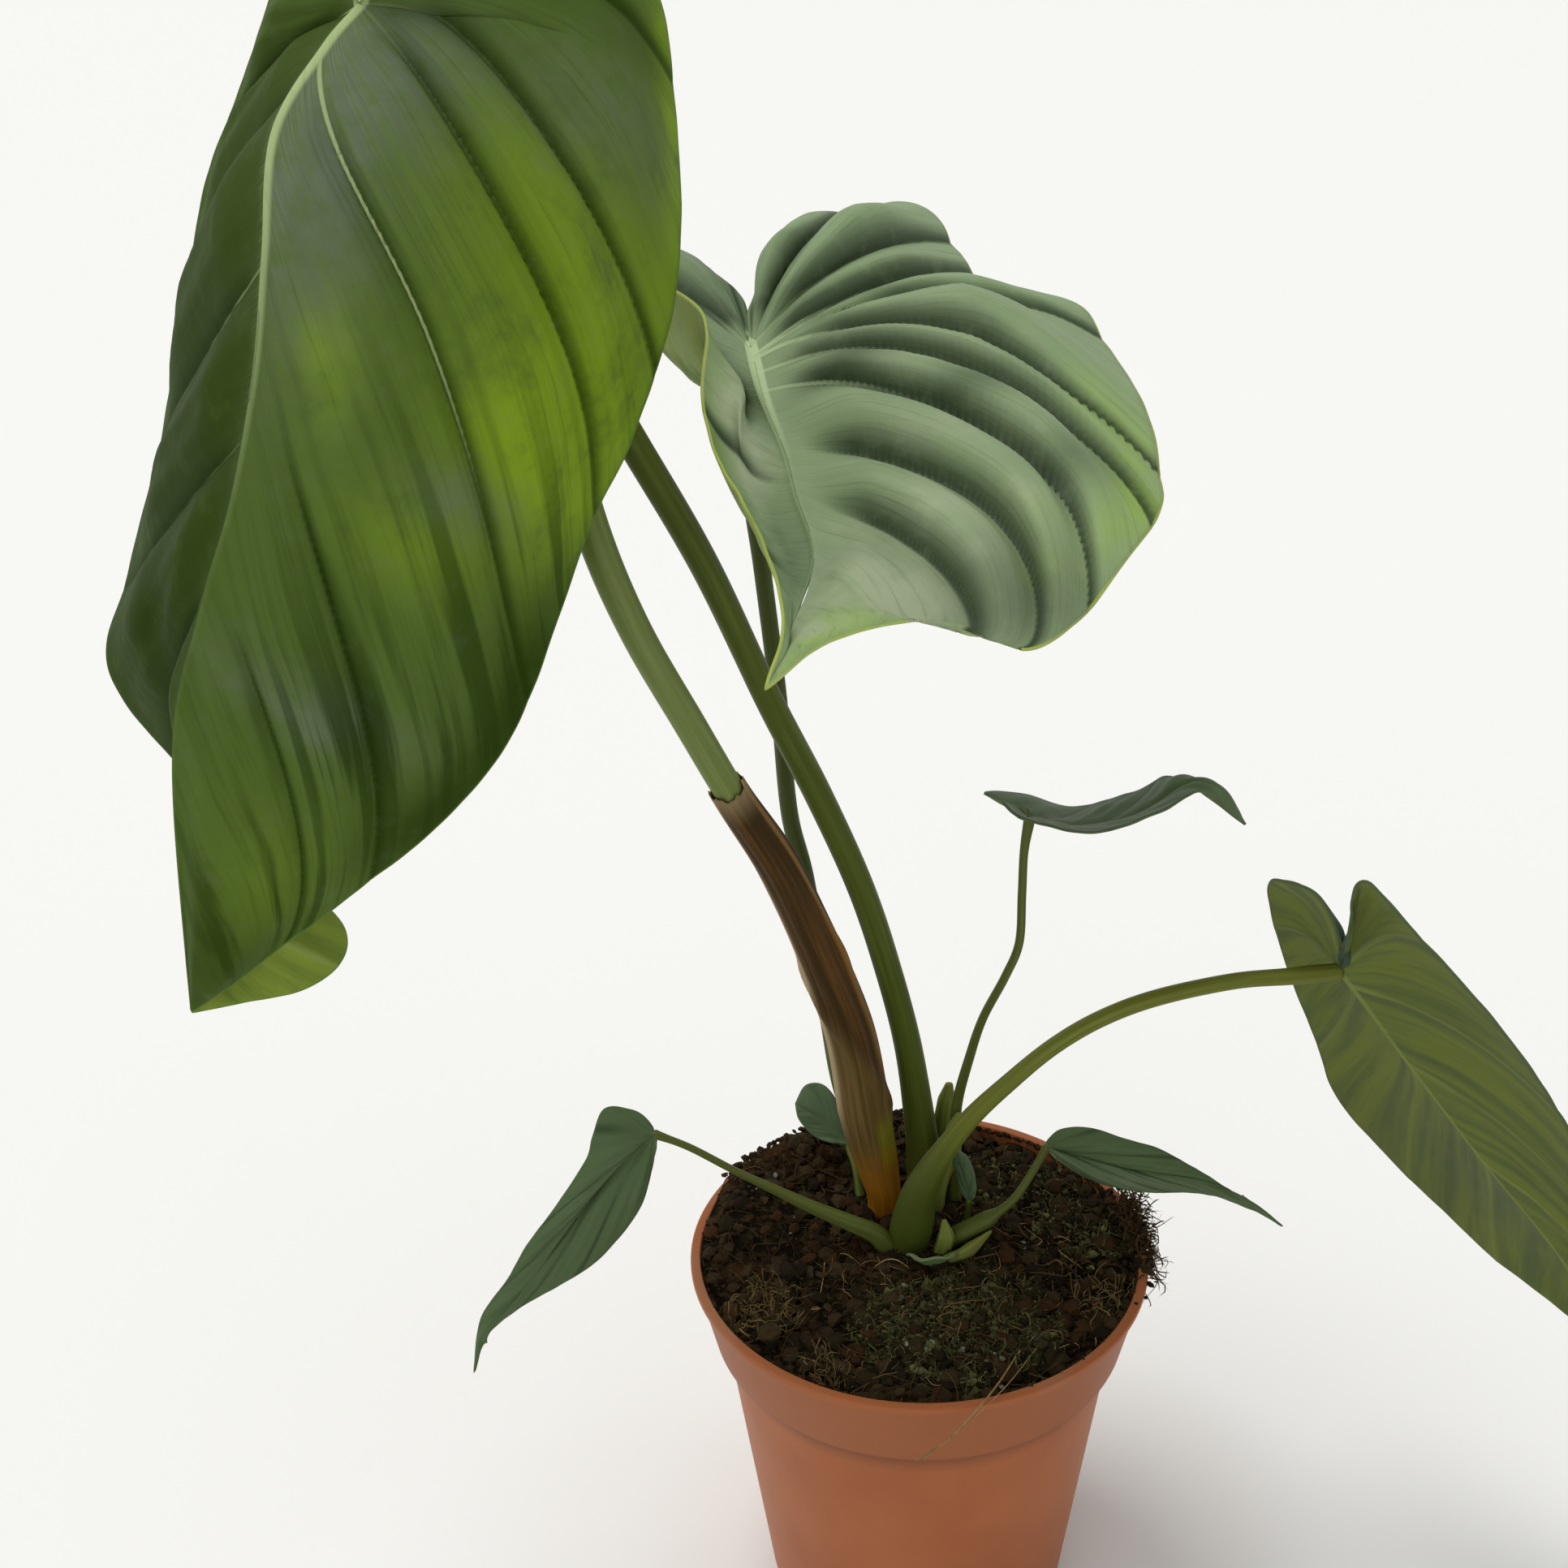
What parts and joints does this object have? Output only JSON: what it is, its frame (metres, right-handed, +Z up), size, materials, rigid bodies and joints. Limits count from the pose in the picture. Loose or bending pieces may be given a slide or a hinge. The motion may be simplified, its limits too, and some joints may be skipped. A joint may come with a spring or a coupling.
{
  "type": "potted philodendron",
  "caption": "Round tapered nursery pot filled with soil, holding a small philodendron with large heart-shaped leaves on upright stalks.",
  "frame": {"origin": "centre of the pot's underside, on the plane it stands on", "axes": "+Z up, the pot's own axis; +Y away from the side that the picture was taken from; +X to its right"},
  "size_m": [0.3633, 0.1871, 0.5308],
  "materials": {
    "pot": "matte terracotta-coloured",
    "soil": "dark damp peat",
    "rootstock": "rough bark",
    "petiole": "smooth, slightly waxy",
    "new_petiole": "smooth, waxy",
    "sheath": "dry and papery",
    "blade": "satin leaf",
    "far_blade": "satin blue-green leaf",
    "young_leaf": "smooth young leaf",
    "bud": "smooth"
  },
  "bodies": {
    "root": {"pot": "pot", "soil": "soil", "rootstock": "rootstock", "brown_sheath": "sheath", "new_petiole": "new_petiole", "rolled_leaf": "young_leaf", "tall_bud": "bud", "short_bud": "bud", "base_leaflet": "far_blade", "front_petiole": "petiole", "front_leaf": "blade", "middle_petiole": "petiole", "middle_leaf": "far_blade", "right_petiole": "petiole", "right_leaf": "far_blade", "upright_petiole": "petiole", "upright_leaf": "far_blade", "left_petiole": "petiole", "left_leaf": "far_blade", "small_right_petiole": "petiole", "small_right_leaf": "far_blade", "back_petiole": "petiole", "back_leaf": "far_blade", "tiny_petiole": "petiole", "tiny_leaf": "far_blade"}
  },
  "joints": []
}
